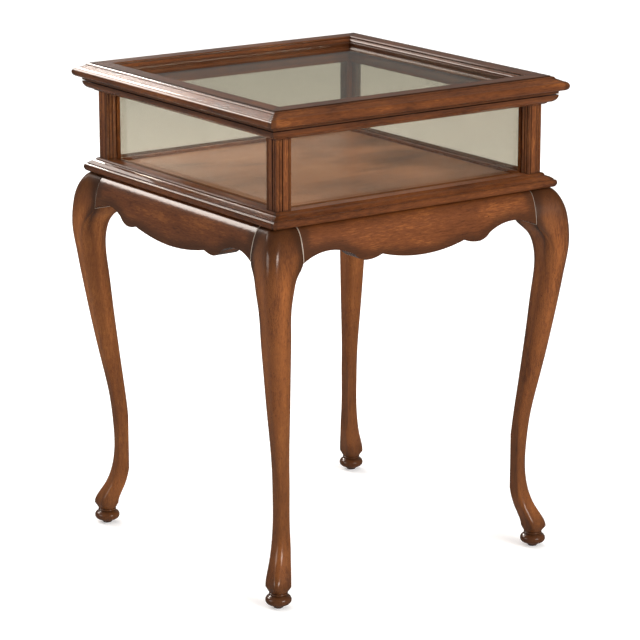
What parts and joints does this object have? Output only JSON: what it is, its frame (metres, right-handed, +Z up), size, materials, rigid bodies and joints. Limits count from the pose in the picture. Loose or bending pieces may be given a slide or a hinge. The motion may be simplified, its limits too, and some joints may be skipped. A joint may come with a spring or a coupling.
{
  "type": "display end table",
  "caption": "Square lift-top glass display end table on cabriole legs, with a glazed case above scalloped aprons and a glazed lid hinged at the back.",
  "frame": {"origin": "on the floor, under the middle of the table", "axes": "+Z up, -Y to the front, +X to the right; the lid's hinges are along the back, +Y"},
  "size_m": [0.495, 0.495, 0.66],
  "materials": {
    "mahogany": "dark red-brown stained mahogany under a satin-to-gloss lacquer, lightly distressed",
    "figured_veneer": "mottled figured mahogany veneer, satin lacquer",
    "secondary_hardwood": "unfinished pale hardwood",
    "glass": "clear float glass with a faint grey-beige cast, polished",
    "brass": "aged solid brass, satin",
    "zinc_steel": "zinc-plated steel",
    "nylon": "dark moulded nylon",
    "bumper_rubber": "dark soft rubber, matte"
  },
  "bodies": {
    "case": {"leg_front_left": "mahogany", "leg_front_right": "mahogany", "leg_back_left": "mahogany", "leg_back_right": "mahogany", "apron_front": "mahogany", "apron_right": "mahogany", "apron_back": "mahogany", "apron_left": "mahogany", "corner_brace_front_left": "secondary_hardwood", "corner_brace_front_right": "secondary_hardwood", "corner_brace_back_left": "secondary_hardwood", "corner_brace_back_right": "secondary_hardwood", "post_front_left": "mahogany", "post_front_right": "mahogany", "post_back_left": "mahogany", "post_back_right": "mahogany", "corner_stop_front_left": "mahogany", "corner_stop_front_right": "mahogany", "corner_stop_back_left": "mahogany", "corner_stop_back_right": "mahogany", "base_moulding_front": "mahogany", "base_moulding_right": "mahogany", "base_moulding_back": "mahogany", "base_moulding_left": "mahogany", "upper_rail_front": "mahogany", "upper_rail_right": "mahogany", "upper_rail_back": "mahogany", "upper_rail_left": "mahogany", "side_glass_front": "glass", "side_glass_right": "glass", "side_glass_back": "glass", "side_glass_left": "glass", "glass_stops_front": "mahogany", "glass_stops_right": "mahogany", "glass_stops_back": "mahogany", "glass_stops_left": "mahogany", "deck_panel": "figured_veneer", "foot_glides": "nylon", "apron_dowels": "secondary_hardwood", "post_dowels": "secondary_hardwood", "corner_brace_screws": "zinc_steel", "lid_bumpers": "bumper_rubber", "hinge_left_case_leaf": "brass", "hinge_left_pin": "brass", "hinge_right_case_leaf": "brass", "hinge_right_pin": "brass", "hinge_screws_case": "brass"},
    "lid": {"lid_rail_front": "mahogany", "lid_rail_right": "mahogany", "lid_rail_back": "mahogany", "lid_rail_left": "mahogany", "lid_glass_bead_front": "mahogany", "lid_glass_bead_right": "mahogany", "lid_glass_bead_back": "mahogany", "lid_glass_bead_left": "mahogany", "lid_glass": "glass", "hinge_left_lid_leaf": "brass", "hinge_right_lid_leaf": "brass", "hinge_screws_lid": "brass"}
  },
  "joints": [
    {"name": "lid_hinge", "type": "hinge", "parent": "case", "child": "lid", "pos_m": [0, 0.2338, 0.6353], "axis": [-1, 0, 0], "range_deg": [0, 95]}
  ]
}
